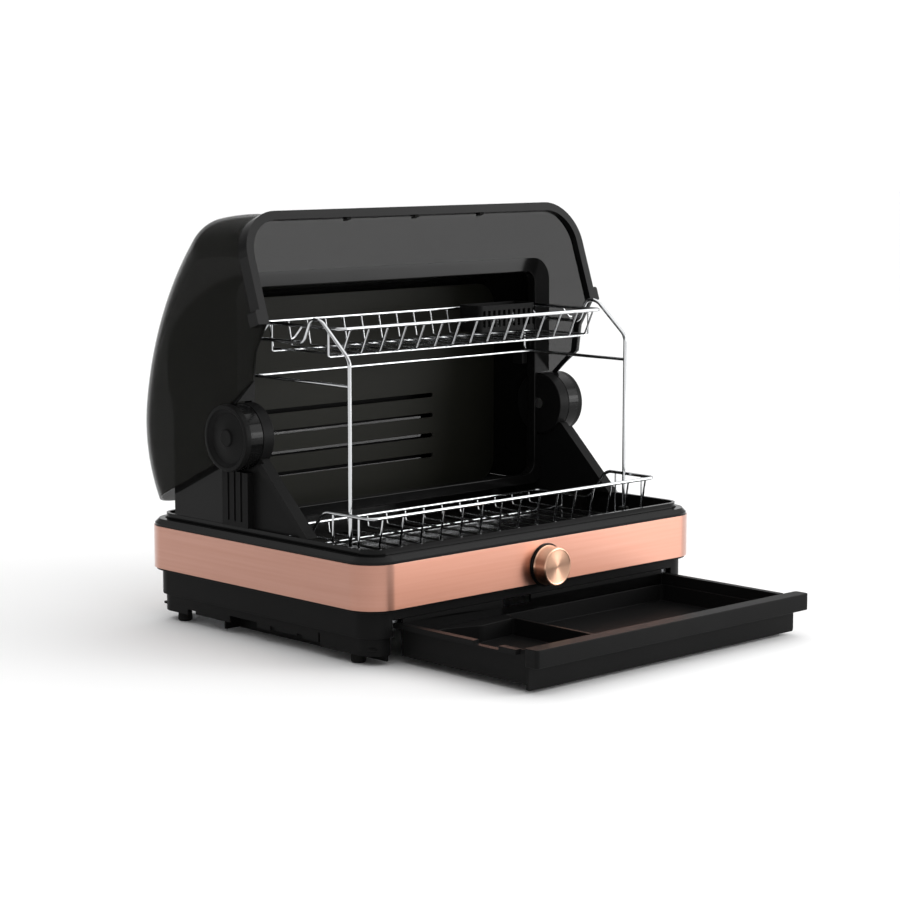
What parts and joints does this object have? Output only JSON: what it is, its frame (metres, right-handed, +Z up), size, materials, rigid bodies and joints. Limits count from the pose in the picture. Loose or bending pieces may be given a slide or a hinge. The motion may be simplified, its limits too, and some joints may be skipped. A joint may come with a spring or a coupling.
{
  "type": "dish sterilizer cabinet",
  "caption": "Countertop dish dryer and sterilizer with a swing-back smoked lid, wire racks over a basin, a turning control knob and a pull-out cutlery drawer",
  "frame": {"origin": "centre of the body's footprint, on the surface the feet stand on", "axes": "+X to the right along the front, +Y to the back, +Z up"},
  "size_m": [0.513, 0.5915, 0.4528],
  "materials": {
    "satin_black": "satin moulded plastic",
    "gloss_black": "gloss moulded plastic",
    "dark_panel": "dark olive moulded plastic",
    "copper": "brushed rose-copper coat",
    "copper_knob": "metallised copper, spun face",
    "smoked": "smoked clear plastic",
    "chrome": "bright plated wire",
    "steel": "plain steel",
    "zinc": "zinc-plated sheet",
    "rubber": "black rubber",
    "white_plastic": "natural plastic",
    "lamp_glass": "clear lamp tube",
    "board": "green board"
  },
  "bodies": {
    "base": {"lower_housing": "satin_black", "bottom_plate": "zinc", "feet": "rubber", "trim_band": "copper", "upper_shell": "gloss_black", "side_bracket_left": "gloss_black", "side_bracket_right": "gloss_black", "hinge_pin_left": "steel", "hinge_pin_right": "steel", "hinge_washer_left": "white_plastic", "hinge_washer_right": "white_plastic", "rear_hood": "satin_black", "back_panel": "dark_panel", "rear_cover": "satin_black", "uv_lamp": "lamp_glass", "lamp_holders": "white_plastic", "drawer_runner_left": "zinc", "drawer_runner_right": "zinc", "knob_ring": "satin_black", "timer_switch": "white_plastic", "fan_housing": "satin_black", "fan_motor": "steel", "heater": "steel", "air_duct": "zinc", "control_board": "board", "power_inlet": "satin_black", "shelf_brackets": "satin_black"},
    "lid": {"lid_shell": "smoked", "lid_rim": "gloss_black", "lid_hub_left": "gloss_black", "lid_hub_right": "gloss_black", "hinge_cap_left": "gloss_black", "hinge_cap_right": "gloss_black", "lid_bumpers": "rubber"},
    "drawer": {"drawer_tray": "satin_black", "drawer_front": "satin_black", "drawer_insert": "satin_black"},
    "knob": {"control_knob": "copper_knob", "timer_shaft": "steel"},
    "impeller": {"fan_impeller": "white_plastic"},
    "lower_rack_body": {"lower_rack": "chrome"},
    "shelf": {"shelf_frame": "chrome", "post_caps": "satin_black"},
    "basket": {"upper_basket": "chrome", "utensil_holder": "satin_black"}
  },
  "joints": [
    {"name": "lid_hinge", "type": "hinge", "parent": "base", "child": "lid", "pos_m": [0, 0.033, 0.2155], "axis": [-1, 0, 0], "range_deg": [-108.5, 0]},
    {"name": "drawer_slide", "type": "slide", "parent": "base", "child": "drawer", "axis": [0, -1, 0], "range_m": [-0.183, 0]},
    {"name": "knob_turn", "type": "hinge", "parent": "base", "child": "knob", "pos_m": [0, -0.19, 0.078], "axis": [0, 1, 0], "range_deg": [0, 300]},
    {"name": "fan_spin", "type": "hinge", "parent": "base", "child": "impeller", "pos_m": [-0.095, 0.122, 0.05], "axis": [0, 0, 1], "continuous": true},
    {"name": "lower_rack_lift", "type": "slide", "parent": "base", "child": "lower_rack_body", "axis": [0, 0, 1], "range_m": [0, 0.1]},
    {"name": "shelf_lift", "type": "slide", "parent": "base", "child": "shelf", "axis": [0, 0, 1], "range_m": [0, 0.015]},
    {"name": "basket_lift", "type": "slide", "parent": "shelf", "child": "basket", "axis": [0, 0, 1], "range_m": [0, 0.015]}
  ]
}
